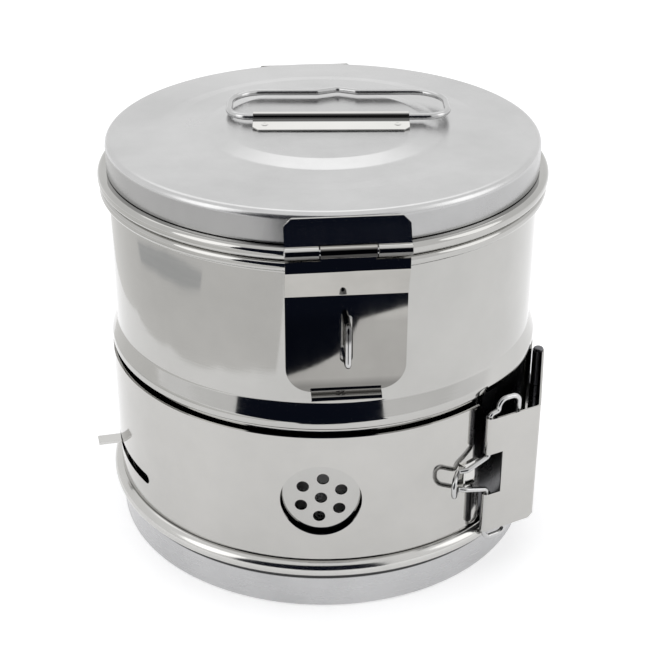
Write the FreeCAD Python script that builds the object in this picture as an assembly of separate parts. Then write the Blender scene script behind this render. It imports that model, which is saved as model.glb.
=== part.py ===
import FreeCAD, Part
import math
import os

# Round sterilization container (dressing drum) of polished stainless sheet.
# Millimetres, +Z up. The origin is on the drum's axis, at the flat centre of the base,
# and the hasp faces -Y. An azimuth is in degrees about +Z, 0 at the hasp, rising towards +X.

os.makedirs("parts", exist_ok=True)
V = FreeCAD.Vector

# Drum wall and its beads
wall_r = 76.0
drum_sheet = 0.7
seam_gap = 0.7
seam_bead_out = 5.1
seam_bead_height = 6.3
vent_zone_height = 51.7
mid_bead_out = 2.1
mid_bead_height = 9.7
upper_wall_height = 47.3
top_bead_out = 3.35
top_bead_height = 8.8
lower_lobe_out = 2.9
lower_lobe_height = 4.3
lobe_gap = 0.15
collar_depth = 9.0
collar_bend = 0.6
neck_in = 0.9
neck_height = 8.8
hem_depth = 4.0

# Base pan
pan_height = 13.7
pan_sheet = 0.8
pan_overhang = 2.0
pan_corner = 2.4
pan_ring_inner = 42.0
pan_ring_outer = 60.0
pan_ring_rise = 1.6
seam_fit = 0.05

# Lid
lid_sheet = 0.7
lid_slip = 0.3
lid_seat_gap = 0.3
skirt_height = 10.5
lid_corner = 2.4
shelf_outer_r = 57.8
shelf_rise = 0.5
plateau_foot_r = 42.0
plateau_top_r = 35.0
plateau_rise = 1.7

# Lid handle: a wire bail in a rolled bracket, set a little askew as it was welded
bracket_length = 54.4
bracket_sheet = 0.6
bracket_shift = 2.8
bracket_back = -0.2
handle_turn = -5.0
flange_length = 7.6
flange_chamfer = 2.0
flange_tilt = 12.0
weld_inset = 4.2
weld_r = 1.3
weld_depth = 0.25
bail_wire = 2.4
bail_reach = 27.0
bail_width = 77.3
bail_shift = 2.7
bail_front_bend = 8.0
bail_back_bend = 12.0
bail_grip = 15.0
kink_rise = 3.2
kink_half = 7.5
kink_bend = 3.0

# Hinges: the hasp at the front and the lid hinge at the back share these
pin_r = 1.1
pin_clear = 0.05
leaf_sheet = 0.8
hinge_width = 39.2
middle_knuckle = 17.4
knuckle_gap = 0.35
bead_clear = 0.35
pivot_above_bead = 0.4
leaf_height = 9.4
leaf_flat = 4.2
leaf_chamfer = 2.4

# Hasp plate and its staple
wall_clear = 0.3
plate_width = 38.8
plate_drop = 51.2
step_start = 7.3
step_height = 9.3
shoulder_drop = 3.4
plate_corner = 9.0
lip_width = 22.8
lip_length = 3.2
lip_bend = 2.2
lip_curl = 1.4
lip_curl_bend = 0.9
slot_width = 4.15
slot_height = 17.3
slot_drop = 23.8
staple_wire = 2.0
staple_reach = 8.0
staple_clear = 0.5
staple_bend = 1.8

# Rear hinge's leaf on the drum
rear_leaf_drop = 30.0
rear_leaf_corner = 5.0

# Vents
vent_azimuth = -6.0
vent_height = 45.1
vent_hole_r = 2.1
vent_circle_r = 7.5
vent_holes = 6
vent_phase = 25.0
window_r = 13.8

# Turning vent band
band_gap = 1.4
band_sheet = 0.8
band_rest_gap = 0.3
band_height = 49.0
band_end_a = 39.1
band_before_hinge = 1.7
band_corner = 2.0
band_travel = 20.0
stop_azimuth = -82.1
stop_width = 5.1
stop_sheet = 1.0
stop_reach = 8.6
stop_height = 32.2
stop_foot = 6.0
slot_play = 0.4
stop_slot_height = 4.0

# Clamp on the band
clamp_height = 46.4
clamp_below_band = 3.4
clamp_sheet = 0.7
clamp_notch = 16.6
clamp_notch_drop = 14.2
notch_depth = 4.9
clamp_pin_r = 1.4
clamp_pin_head = 0.9
clamp_pin_head_out = 0.35
hinge_azimuth = 76.2
knuckle_clear = 0.25
corner_azimuth = 50.0
corner_out = 12.3
corner_bend = 1.6
corner_chamfer = 1.5
edge_azimuth = 38.3
edge_out = 4.2
hinge_leaf_arc = 13.0

# Wire hook of the clamp, and the tails that keep it in its knuckles
hook_wire = 1.8
tail_behind = 0.8
tail_length = 6.0
top_tail = 11.6
top_tail_rise = 6.0
top_tail_start = 3.2
bottom_tail = 9.0
bottom_tail_drop = 3.9
tail_bend = 3.1
leg_spacing = 7.1
leg_exit = 1.4
loop_azimuth = 30.3
loop_length = 7.5
loop_lift = 0.8
loop_lean = 39.0
loop_bend = 3.0
leg_gap = 0.15
lip_gap = 0.45

# Catch plate that the hook snaps over
catch_sheet = 0.8
catch_arc = 5.6
catch_width = 9.6
catch_lip = 0.7
catch_lip_arc = 0.55
catch_azimuth = 32.0

# Heights that follow from the sizes above
seam_bottom = pan_height + seam_gap
seam_top = seam_bottom + seam_bead_height
mid_bottom = seam_top + vent_zone_height
mid_top = mid_bottom + mid_bead_height
bead_bottom = mid_top + upper_wall_height
bead_top = bead_bottom + top_bead_height
rim_top = bead_top + neck_height
skirt_bottom = bead_top + lid_seat_gap
lid_top = skirt_bottom + skirt_height
shelf_top = lid_top + shelf_rise
plateau_top = shelf_top + plateau_rise
band_bottom = seam_top + band_rest_gap
band_end_b = hinge_azimuth - band_before_hinge
band_top = band_bottom + band_height

# Radii that follow
pan_r = wall_r + pan_overhang
foot_r = pan_r - pan_sheet - seam_fit
neck_r = wall_r - neck_in
skirt_inner_r = neck_r + lid_slip
skirt_r = skirt_inner_r + lid_sheet
bead_r = wall_r + top_bead_out
lobe_r = wall_r + lower_lobe_out
lobe_top = bead_bottom + lower_lobe_height
collar_r = wall_r - drum_sheet - seam_fit
band_inner_r = wall_r + band_gap
band_r = band_inner_r + band_sheet

# Hinge line that the hasp and the lid hinge share
knuckle_r = pin_r + pin_clear + leaf_sheet
bore_r = pin_r + pin_clear
plate_back = bead_r + bead_clear
hinge_out = plate_back + knuckle_r - 0.4 * leaf_sheet
hinge_z = bead_top + pivot_above_bead


def polar(radius, azimuth, z=0.0):
    angle = math.radians(azimuth)
    return V(radius * math.sin(angle), -radius * math.cos(angle), z)


def turned(shape, azimuth):
    """A shape made at the front, moved round the drum to an azimuth."""
    copy = shape.copy()
    copy.rotate(V(0, 0, 0), V(0, 0, 1), azimuth)
    return copy


def rounded_wire(points):
    """A wire through (vector, bend radius) pairs, with a tangent arc at each bend."""
    edges = []
    last = points[0][0]
    for (before, _), (corner, radius), (after, _) in zip(points, points[1:], points[2:]):
        to_before = (before - corner).normalize()
        to_after = (after - corner).normalize()
        half = 0.5 * to_before.getAngle(to_after)
        if radius <= 0 or half > 1.5707:
            edges.append(Part.LineSegment(last, corner).toShape())
            last = corner
            continue
        setback = radius / math.tan(half)
        start = corner + to_before * setback
        end = corner + to_after * setback
        inward = (to_before + to_after).normalize()
        middle = corner + inward * (radius / math.sin(half) - radius)
        if (start - last).Length > 1e-5:
            edges.append(Part.LineSegment(last, start).toShape())
        edges.append(Part.Arc(start, middle, end).toShape())
        last = end
    edges.append(Part.LineSegment(last, points[-1][0]).toShape())
    return Part.Wire(edges)


def sheet_face(points, thickness):
    """The cross-section of a bent sheet: a rounded wire thickened to one side."""
    wire = rounded_wire(points)
    return wire.makeOffset2D(thickness, join=2, fill=True, openResult=True)


def section(pairs):
    """(radius or outward distance, height, bend) triples as points of the XZ plane."""
    return [(V(out, 0, z), bend) for out, z, bend in pairs]


def spun(face, angle=360.0):
    return face.revolve(V(0, 0, 0), V(0, 0, 1), angle)


def front_extrude(face, width, centre=0.0):
    """A section of the XZ plane, turned to face -Y and given its width along X."""
    copy = face.copy()
    copy.rotate(V(0, 0, 0), V(0, 0, 1), -90)
    copy.translate(V(centre - 0.5 * width, 0, 0))
    return copy.extrude(V(width, 0, 0))


def wire_rod(points, diameter):
    """A round wire bent along the points."""
    path = rounded_wire(points)
    start = points[0][0]
    ahead = (points[1][0] - start).normalize()
    ring = Part.Wire(Part.Circle(start, ahead, 0.5 * diameter).toShape())
    return path.makePipeShell([ring], True, False)


def rod(radius, start, direction, length):
    return Part.makeCylinder(radius, length, start, direction)


def arc_block(inner, outer, bottom, top, azimuth_from, azimuth_to):
    """A piece of a ring round the drum's axis."""
    height = top - bottom
    span = azimuth_to - azimuth_from
    ring = Part.makeCylinder(outer, height, V(0, 0, bottom), V(0, 0, 1), span)
    ring = ring.cut(Part.makeCylinder(inner, height, V(0, 0, bottom)))
    return turned(ring, azimuth_from - 90.0)


def radial_rod(radius, azimuth, z, start, end):
    return rod(radius, polar(start, azimuth, z), polar(1, azimuth), end - start)


def save(shape, name):
    solid = shape.removeSplitter()
    if not solid.isValid():
        raise ValueError(name + " is not a valid solid")
    solid.exportStep("parts/" + name + ".step")
    print(name, len(solid.Solids), round(solid.Volume, 1))


def vent_holes_at(azimuth):
    """The cutters of one vent: a hole at the centre and a ring of holes round it."""
    spots = [(0.0, 0.0)]
    for k in range(vent_holes):
        angle = math.radians(vent_phase + 360.0 * k / vent_holes)
        spots.append((vent_circle_r * math.cos(angle), vent_circle_r * math.sin(angle)))
    cutters = []
    for across, up in spots:
        start = V(across, -wall_r - 5.0, vent_height + up)
        cutters.append(turned(rod(vent_hole_r, start, V(0, 1, 0), 15.0), azimuth))
    return cutters


def body_shell():
    bend = 0.5 * seam_bead_height - 0.01
    seam_r = wall_r + seam_bead_out
    mid_r = wall_r + mid_bead_out
    profile = section([
        (foot_r, pan_corner, 0),
        (foot_r, seam_bottom, 0),
        (seam_r, seam_bottom, bend),
        (seam_r, seam_top, bend),
        (wall_r, seam_top, 0),
        (wall_r, mid_bottom, 0.8),
        (mid_r, mid_bottom + 0.4 * mid_bead_out, 0.9),
        (mid_r, mid_bottom + 0.35 * mid_bead_height, 4.0),
        (wall_r, mid_top, 4.0),
        (wall_r, bead_bottom, 1.2),
        (lobe_r, bead_bottom + 0.2 * lower_lobe_height, 1.7),
        (lobe_r, lobe_top, 1.7),
        (collar_r + collar_bend + seam_fit, lobe_top, 0),
    ])
    shell = spun(sheet_face(profile, drum_sheet))
    return shell.cut(vent_holes_at(vent_azimuth) + vent_holes_at(vent_azimuth + 180.0))


def neck_collar():
    """The ring pressed into the wall's top: it carries the upper bead and the neck for the lid."""
    foot = lobe_top + lobe_gap
    profile = section([
        (collar_r, lobe_top - collar_depth, 0),
        (collar_r, foot, collar_bend),
        (bead_r, foot, 1.9),
        (bead_r, bead_top, 1.9),
        (neck_r, bead_top, 0.8),
        (neck_r, rim_top, 0),
    ])
    collar = spun(sheet_face(profile, drum_sheet))
    hem_outer = neck_r - drum_sheet
    hem = Part.makeCylinder(hem_outer, hem_depth, V(0, 0, rim_top - hem_depth))
    hem = hem.cut(Part.makeCylinder(hem_outer - drum_sheet, hem_depth, V(0, 0, rim_top - hem_depth)))
    return collar.fuse(hem)


def base_pan():
    slope = pan_ring_rise
    profile = section([
        (pan_r, pan_height, 0),
        (pan_r, 0, pan_corner),
        (pan_ring_outer, 0, 1.5),
        (pan_ring_outer - slope, pan_ring_rise, 1.5),
        (pan_ring_inner + slope, pan_ring_rise, 1.5),
        (pan_ring_inner, 0, 1.5),
        (0, 0, 0),
    ])
    return spun(sheet_face(profile[::-1], pan_sheet))


def lid_shell():
    profile = section([
        (skirt_r, skirt_bottom, 0),
        (skirt_r, lid_top, lid_corner),
        (shelf_outer_r, lid_top, 6.0),
        (shelf_outer_r - 5.0, shelf_top, 6.0),
        (plateau_foot_r, shelf_top, 6.0),
        (plateau_top_r, plateau_top, 5.0),
        (0, plateau_top, 0),
    ])
    return spun(sheet_face(profile, lid_sheet))


def handle_placed(shape):
    """Moves a handle piece from its bracket's own frame to the lid."""
    copy = shape.copy()
    copy.translate(V(bracket_shift, bracket_back, plateau_top))
    copy.rotate(V(0, 0, 0), V(0, 0, 1), handle_turn)
    return copy


bracket_bore_r = 0.5 * bail_wire + 0.1
bracket_r = bracket_bore_r + bracket_sheet


def handle_bracket():
    half = 0.5 * bracket_length
    front = -flange_length - bracket_r
    outline = Part.Wire(Part.makePolygon([
        V(-half, 0, 0),
        V(-half, front + flange_chamfer, 0),
        V(-half + flange_chamfer, front, 0),
        V(half - flange_chamfer, front, 0),
        V(half, front + flange_chamfer, 0),
        V(half, 0, 0),
        V(-half, 0, 0),
    ]))
    flange = Part.Face(outline).extrude(V(0, 0, bracket_sheet))
    dimple_lift = (weld_r ** 2 - weld_depth ** 2) / (2 * weld_depth)
    dimple_ball = dimple_lift + weld_depth
    for side in (-1, 1):
        spot = V(side * (half - weld_inset), front + weld_inset - 0.6, bracket_sheet + dimple_lift)
        flange = flange.cut(Part.makeSphere(dimple_ball, spot))
    flange.rotate(V(0, front, 0), V(1, 0, 0), flange_tilt)
    shape = flange.fuse(rod(bracket_r, V(-half, 0, bracket_r), V(1, 0, 0), bracket_length))
    shape = shape.cut(rod(bracket_bore_r, V(-half, 0, bracket_r), V(1, 0, 0), bracket_length))
    return handle_placed(shape)


def bail_handle():
    half = 0.5 * bail_width
    left = bail_shift - half
    right = bail_shift + half
    grip = 0.5 * bracket_length - bail_grip
    peak = bail_reach + kink_rise
    points = [
        (V(-grip, 0, 0), 0),
        (V(left, 0, 0), bail_front_bend),
        (V(left, bail_reach, 0), bail_back_bend),
        (V(bail_shift - kink_half, bail_reach, 0), kink_bend),
        (V(bail_shift, peak, 0), kink_bend),
        (V(bail_shift + kink_half, bail_reach, 0), kink_bend),
        (V(right, bail_reach, 0), bail_back_bend),
        (V(right, 0, 0), bail_front_bend),
        (V(grip, 0, 0), 0),
    ]
    lifted = [(point + V(0, 0, bracket_r), bend) for point, bend in points]
    return handle_placed(wire_rod(lifted, bail_wire))


def knuckle(start, length, hole=bore_r):
    """A rolled knuckle on the front hinge line, from x = start."""
    centre = V(start, -hinge_out, hinge_z)
    ring = rod(knuckle_r, centre, V(1, 0, 0), length)
    return ring.cut(rod(hole, centre, V(1, 0, 0), length))


def lid_leaf():
    """The hinge leaf on the lid's skirt, with the two outer knuckles."""
    top = hinge_z + leaf_height
    profile = section([
        (skirt_r, top, 0),
        (skirt_r, top - leaf_flat, 2.0),
        (hinge_out - 0.5 * knuckle_r, hinge_z + 0.62 * knuckle_r, 0),
    ])
    leaf = front_extrude(sheet_face(profile, leaf_sheet), hinge_width)
    half = 0.5 * hinge_width
    inside = 0.5 * middle_knuckle + knuckle_gap
    for side in (-1, 1):
        start = inside if side > 0 else -half
        leaf = leaf.fuse(knuckle(start, half - inside))
        corner = Part.Face(Part.makePolygon([
            V(side * half, 0, top),
            V(side * half, 0, top - leaf_chamfer),
            V(side * (half - leaf_chamfer), 0, top),
            V(side * half, 0, top),
        ]))
        leaf = leaf.cut(corner.extrude(V(0, -hinge_out, 0)))
    leaf = leaf.cut(rod(bore_r, V(-half, -hinge_out, hinge_z), V(1, 0, 0), hinge_width))
    relief = 2 * inside
    clear_r = knuckle_r + knuckle_gap
    return leaf.cut(rod(clear_r, V(-inside, -hinge_out, hinge_z), V(1, 0, 0), relief))


def hung_plate(width, drop, seat_r, corner):
    """A leaf that hangs from the middle knuckle, over the bead and down the wall."""
    bottom = hinge_z - drop
    step_top = hinge_z - step_start
    profile = section([
        (plate_back, hinge_z - 0.5, 0),
        (plate_back, step_top, 2.0),
        (seat_r, step_top - step_height, 2.0),
        (seat_r, bottom, 0),
    ])
    plate = front_extrude(sheet_face(profile, leaf_sheet), width)
    half = 0.5 * width
    shoulder = hinge_z - shoulder_drop
    neck = 0.5 * middle_knuckle
    outline = rounded_wire([
        (V(0, 0, hinge_z), 0),
        (V(-neck, 0, hinge_z), 0),
        (V(-neck, 0, shoulder), 0),
        (V(-half, 0, shoulder), 0),
        (V(-half, 0, bottom), corner),
        (V(half, 0, bottom), corner),
        (V(half, 0, shoulder), 0),
        (V(neck, 0, shoulder), 0),
        (V(neck, 0, hinge_z), 0),
        (V(0, 0, hinge_z), 0),
    ])
    plate = plate.common(Part.Face(outline).extrude(V(0, -2 * wall_r, 0)))
    plate = plate.fuse(knuckle(-neck, middle_knuckle))
    return plate.cut(rod(bore_r, V(-neck, -hinge_out, hinge_z), V(1, 0, 0), middle_knuckle))


slot_top = hinge_z - slot_drop
slot_bottom = slot_top - slot_height
plate_seat = wall_r + wall_clear


def hasp_plate():
    plate = hung_plate(plate_width, plate_drop, plate_seat, plate_corner)
    bottom = hinge_z - plate_drop
    profile = section([
        (plate_seat, bottom + 4.0, 0),
        (plate_seat, bottom - leaf_sheet, lip_bend),
        (plate_seat + lip_length, bottom - leaf_sheet, lip_curl_bend),
        (plate_seat + lip_length, bottom - leaf_sheet - lip_curl, 0),
    ])
    plate = plate.fuse(front_extrude(sheet_face(profile, leaf_sheet), lip_width))
    end_r = 0.5 * slot_width
    height = slot_height - slot_width
    slot = Part.makeBox(slot_width, 20, height, V(-end_r, -wall_r - 15, slot_bottom + end_r))
    for z in (slot_bottom + end_r, slot_top - end_r):
        slot = slot.fuse(rod(end_r, V(0, -wall_r - 15, z), V(0, 1, 0), 20))
    return plate.cut(slot)


def hinge_pin():
    half = 0.5 * hinge_width
    pin = rod(pin_r, V(-half - 0.2, -hinge_out, hinge_z), V(1, 0, 0), hinge_width + 0.4)
    return pin.makeChamfer(0.25, [e for e in pin.Edges if e.Curve.TypeId == "Part::GeomCircle"])


def hasp_staple():
    """A wire staple welded to the wall, standing through the hasp's slot."""
    inset = staple_clear + 0.5 * staple_wire
    reach = wall_r + staple_reach - 0.5 * staple_wire
    low = slot_bottom + inset
    high = slot_top - inset
    loop = wire_rod([
        (V(0, -wall_r + 4.0, high), 0),
        (V(0, -reach, high), staple_bend),
        (V(0, -reach, low), staple_bend),
        (V(0, -wall_r + 4.0, low), 0),
    ], staple_wire)
    return loop.cut(Part.makeCylinder(wall_r, rim_top))


def stop_slot():
    """The cutter of the band's slot: the stop stands at its first end."""
    half_stop = math.degrees(0.5 * stop_width / band_r)
    play = math.degrees(slot_play / band_r)
    first = stop_azimuth - half_stop - play
    last = stop_azimuth + half_stop + play + band_travel
    end_r = 0.5 * stop_slot_height
    bottom = stop_height - end_r
    rounding = math.degrees(end_r / band_r)
    cutter = arc_block(wall_r, band_r + 5, bottom, bottom + stop_slot_height, first, last)
    for azimuth in (first, last):
        cutter = cutter.fuse(radial_rod(end_r, azimuth, stop_height, wall_r, band_r + 5))
    return cutter


def vent_band():
    """The turning band, open at the clamp, with its windows and the stop's slot."""
    band = arc_block(band_inner_r, band_r, band_bottom, band_top, band_end_b, 360.0 + band_end_a)
    for azimuth in (vent_azimuth, vent_azimuth + 180.0):
        band = band.cut(radial_rod(window_r, azimuth, vent_height, wall_r - 10, band_r + 10))
    band = band.cut(stop_slot())
    for azimuth, side in ((band_end_a, -1), (band_end_b, 1)):
        for z, up in ((band_bottom, 1), (band_top, -1)):
            corner = Part.Face(Part.makePolygon([
                V(0, 0, z),
                V(side * band_corner, 0, z),
                V(0, 0, z + up * band_corner),
                V(0, 0, z),
            ]))
            cutter = corner.extrude(V(0, -2 * wall_r, 0))
            band = band.cut(turned(cutter, azimuth))
    return band


def stop_tab():
    """An angle welded to the wall: its foot behind the band, its tab out through the slot."""
    half = math.degrees(0.5 * stop_width / wall_r)
    bottom = stop_height - 0.5 * stop_sheet
    foot_top = stop_height + 0.5 * stop_sheet + stop_foot
    foot = arc_block(wall_r, wall_r + 0.8, bottom, foot_top, stop_azimuth - half, stop_azimuth + half)
    reach = band_r + stop_reach - wall_r
    tab = Part.makeBox(stop_width, reach + 2, stop_sheet, V(-0.5 * stop_width, -wall_r - reach, bottom))
    tab = turned(tab, stop_azimuth).cut(Part.makeCylinder(wall_r, rim_top))
    return foot.fuse(tab)


# Plan of the clamp
clamp_knuckle_r = clamp_pin_r + pin_clear + clamp_sheet
clamp_bore_r = clamp_pin_r + pin_clear
hook_bore_r = 0.5 * hook_wire + pin_clear
edge_knuckle_r = hook_bore_r + clamp_sheet
hinge_at = polar(band_r + knuckle_clear + clamp_knuckle_r, hinge_azimuth)
corner_at = polar(band_r + corner_out, corner_azimuth)
edge_at = polar(band_r + edge_out, edge_azimuth)
side_along = (hinge_at - corner_at).normalize()
flap_along = (corner_at - edge_at).normalize()
side_out = V(side_along.y, -side_along.x, 0)
flap_out = V(flap_along.y, -flap_along.x, 0)

clamp_top = band_top - clamp_below_band
clamp_bottom = clamp_top - clamp_height
notch_top = clamp_top - clamp_notch_drop
notch_bottom = notch_top - clamp_notch
notch_mid = 0.5 * (notch_top + notch_bottom)
hinge_bottom = max(clamp_bottom, seam_top + bead_clear)


def at_height(point, z):
    return V(point.x, point.y, z)


def upright_tube(at, outer, hole, bottom, top):
    tube = rod(outer, at_height(at, bottom), V(0, 0, 1), top - bottom)
    return tube.cut(rod(hole, at_height(at, bottom), V(0, 0, 1), top - bottom))


def lever_plate():
    """The clamp's lever: a bent plate with rolled knuckles down both upright edges."""
    edge_point = edge_at + flap_out * (edge_knuckle_r - clamp_sheet)
    hinge_point = hinge_at + side_out * (clamp_knuckle_r - clamp_sheet)
    plan = [(edge_point, 0), (corner_at, corner_bend), (hinge_point, 0)]
    face = sheet_face(plan, clamp_sheet)
    plate = face.extrude(V(0, 0, clamp_height))
    plate.translate(V(0, 0, clamp_bottom))
    plate = plate.fuse(rod(edge_knuckle_r, at_height(edge_at, clamp_bottom), V(0, 0, 1), clamp_height))
    hinge_height = clamp_top - hinge_bottom
    plate = plate.fuse(rod(clamp_knuckle_r, at_height(hinge_at, hinge_bottom), V(0, 0, 1), hinge_height))
    for at, bore in ((edge_at, hook_bore_r), (hinge_at, clamp_bore_r)):
        plate = plate.cut(rod(bore, at_height(at, clamp_bottom - 1), V(0, 0, 1), clamp_height + 2))
    notch = Part.makeBox(notch_depth + edge_knuckle_r, 8, clamp_notch, V(-edge_knuckle_r, -4, 0))
    notch.rotate(V(0, 0, 0), V(0, 0, 1), math.degrees(math.atan2(flap_along.y, flap_along.x)))
    notch.translate(at_height(edge_at, notch_bottom))
    plate = plate.cut(notch)
    gap_r = clamp_knuckle_r + knuckle_clear
    plate = plate.cut(rod(gap_r, at_height(hinge_at, notch_bottom), V(0, 0, 1), clamp_notch))
    cutter = Part.Face(Part.makePolygon([
        V(corner_chamfer, 0, 0),
        V(-corner_chamfer, 0, 0),
        V(corner_chamfer, 0, 1.6 * corner_chamfer),
        V(corner_chamfer, 0, 0),
    ])).extrude(V(0, 12, 0))
    cutter.translate(V(0, -6, 0))
    cutter.rotate(V(0, 0, 0), V(0, 0, 1), math.degrees(math.atan2(flap_along.y, flap_along.x)))
    cutter.translate(at_height(corner_at, clamp_bottom))
    return plate.cut(cutter)


def lever_pin():
    top = clamp_top + 0.05
    pin = rod(clamp_pin_r, at_height(hinge_at, hinge_bottom), V(0, 0, 1), top - hinge_bottom)
    head = rod(clamp_pin_r + clamp_pin_head_out, at_height(hinge_at, top), V(0, 0, 1), clamp_pin_head)
    crown = [e for e in head.Edges if e.Curve.TypeId == "Part::GeomCircle"
             and e.CenterOfMass.z > top + 0.5 * clamp_pin_head]
    return pin.fuse(head.makeFillet(0.5 * clamp_pin_head, crown))


def band_hinge_leaf():
    """The clamp hinge's leaf on the band, with the middle knuckle."""
    bottom = notch_bottom + knuckle_clear
    top = notch_top - knuckle_clear
    leaf = arc_block(band_r, band_r + clamp_sheet, bottom, top, hinge_azimuth, hinge_azimuth + hinge_leaf_arc)
    leaf = leaf.fuse(rod(clamp_knuckle_r, at_height(hinge_at, bottom), V(0, 0, 1), top - bottom))
    return leaf.cut(rod(clamp_bore_r, at_height(hinge_at, bottom), V(0, 0, 1), top - bottom))


def catch_plate():
    bottom = notch_mid - 0.5 * catch_width
    top = notch_mid + 0.5 * catch_width
    base = arc_block(band_r, band_r + catch_sheet, bottom, top, catch_azimuth, catch_azimuth + catch_arc)
    lip_r = band_r + catch_sheet + catch_lip
    lip = arc_block(band_r, lip_r, bottom, top, catch_azimuth, catch_azimuth + catch_lip_arc)
    return base.fuse(lip)


def wire_hook():
    """One wire: a tail behind the plate, down through the knuckle, out to the finger loop, and back."""
    wire_r = 0.5 * hook_wire
    over_lip = band_r + catch_sheet + catch_lip + lip_gap + wire_r
    behind_lip = band_r + leg_gap + wire_r
    lip_azimuth = catch_azimuth + 0.5 * catch_lip_arc
    loop_base = polar(behind_lip, loop_azimuth)
    lean = math.radians(loop_lean)
    away = polar(math.sin(lean), loop_azimuth) + polar(math.cos(lean), loop_azimuth - 90)
    loop_end = loop_base + away * loop_length
    tail_in = flap_out * -tail_behind
    points = []
    ends = (
        (1, clamp_top, notch_top, top_tail, top_tail_rise, top_tail_start),
        (-1, clamp_bottom, notch_bottom, bottom_tail, bottom_tail_drop, 0.0),
    )
    for side, plate_end, notch_end, width, rise, start in ends:
        far = edge_at + tail_in + flap_along * width
        near = edge_at + tail_in * (start / width) + flap_along * start
        arch_z = plate_end + side * rise
        leg_z = notch_mid + side * 0.5 * leg_spacing
        run = [
            (at_height(far, plate_end - side * tail_length), 0),
            (at_height(far, arch_z), tail_bend),
            (at_height(near, arch_z), tail_bend),
        ]
        if start:
            run.append((at_height(near, plate_end + side * 1.9), 1.0))
            run.append((at_height(edge_at, plate_end + side * 1.1), 1.0))
        run = run + [
            (at_height(edge_at, notch_end - side * leg_exit), 1.3),
            (polar(over_lip, lip_azimuth, leg_z + side * 0.5), 2.0),
            (at_height(loop_base, leg_z), 1.2),
            (at_height(loop_end, leg_z + loop_lift), loop_bend),
        ]
        points = points + (run if side > 0 else run[::-1])
    return wire_rod(points, hook_wire)


def rear_body_leaf():
    return hung_plate(hinge_width, rear_leaf_drop, wall_r, rear_leaf_corner)


save(body_shell(), "body_shell")
save(neck_collar(), "neck_collar")
save(base_pan(), "base_pan")
save(lid_shell(), "lid_shell")
save(handle_bracket(), "handle_bracket")
save(bail_handle(), "bail_handle")
save(lid_leaf(), "hasp_lid_leaf")
save(hasp_plate(), "hasp_plate")
save(hinge_pin(), "hasp_pin")
save(hasp_staple(), "hasp_staple")
save(turned(lid_leaf(), 180.0), "rear_lid_leaf")
save(turned(rear_body_leaf(), 180.0), "rear_body_leaf")
save(turned(hinge_pin(), 180.0), "rear_hinge_pin")
save(vent_band(), "vent_band")
save(stop_tab(), "stop_tab")
save(band_hinge_leaf(), "band_hinge_leaf")
save(lever_plate(), "lever_plate")
save(lever_pin(), "lever_pin")
save(wire_hook(), "wire_hook")
save(catch_plate(), "catch_plate")
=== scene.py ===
import math

import bmesh
import bpy
from mathutils import Matrix, Vector


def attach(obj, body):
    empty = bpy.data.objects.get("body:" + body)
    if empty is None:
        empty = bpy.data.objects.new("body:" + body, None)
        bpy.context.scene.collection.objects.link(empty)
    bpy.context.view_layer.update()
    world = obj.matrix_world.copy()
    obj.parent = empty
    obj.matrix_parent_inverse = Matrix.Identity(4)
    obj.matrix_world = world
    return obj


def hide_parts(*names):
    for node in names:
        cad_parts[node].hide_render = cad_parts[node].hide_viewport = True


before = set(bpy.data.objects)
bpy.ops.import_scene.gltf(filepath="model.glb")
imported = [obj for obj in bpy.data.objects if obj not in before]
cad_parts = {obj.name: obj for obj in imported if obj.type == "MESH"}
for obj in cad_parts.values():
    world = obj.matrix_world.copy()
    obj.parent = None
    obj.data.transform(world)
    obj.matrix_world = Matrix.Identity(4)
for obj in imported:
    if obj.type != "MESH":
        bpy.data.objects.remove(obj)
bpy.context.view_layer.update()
V = Vector
MM = 0.001

# Sizes of the part in millimetres, as its solids have them
wall_r = 76.0
drum_sheet = 0.7
pan_sheet = 0.8
pan_corner = 2.4
pan_r = 78.0
foot_r = 77.15
neck_r = 75.1
skirt_r = 76.1
bead_r = 79.35
lobe_r = 78.9
collar_r = 75.25
band_inner_r = 77.4
band_r = 78.2
seam_bottom = 14.4
seam_top = 20.7
seam_r = 81.1
seam_bend = 3.14
mid_r = 78.1
mid_bottom = 72.4
mid_edge = 73.24
mid_crest = 75.795
mid_top = 82.1
mid_bend = 4.0
bead_bottom = 129.4
lobe_bottom = 130.26
lobe_top = 133.7
lobe_bend = 1.7
collar_bottom = 124.7
collar_ledge = 133.85
bead_top = 138.2
bead_bend = 1.9
rim_top = 147.0
skirt_bottom = 138.5
lid_top = 149.0
shelf_top = 149.5
plateau_top = 151.2
band_bottom = 21.0
band_top = 70.0
band_end_a = 39.1
band_end_b = 74.5
vent_azimuth = -6.0
vent_height = 45.1
vent_hole_r = 2.1
vent_circle_r = 7.5
vent_phase = 25.0
window_r = 13.8
stop_azimuth = -82.1
stop_width = 5.1
stop_height = 32.2
slot_play = 0.4
slot_height = 4.0
band_travel = 20.0
band_corner = 2.0
pan_top = 13.7
floor_ring_rise = 1.6
floor_ring_radii = (42.0, 43.6, 58.4, 60.0)
floor_ring_bend = 1.5
shelf_edge_r = 57.8
shelf_r = 52.8
plateau_foot_r = 42.0
plateau_r = 35.0
lid_corner = 2.4
lid_bend = 6.0
plateau_bend = 5.0
hem_depth = 4.0
hem_sheet = 0.7

# Lid handle
handle_azimuth = -5.0
bracket_shift = 2.8
bracket_back = -0.2
bail_wire = 2.4
bail_lift = 1.9
bail_grip = 12.2
bail_left = -35.95
bail_right = 41.35
bail_reach = 27.0
bail_corner_bend = 12.0
bail_foot_bend = 8.0
kink_left = -4.8
kink_middle = 2.7
kink_right = 10.2
kink_reach = 30.2
kink_bend = 3.0

# Hasp staple
staple_wire = 2.0
staple_back = -75.6
staple_front = -83.0
staple_top = 113.3
staple_bottom = 99.0
staple_bend = 1.8

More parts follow.
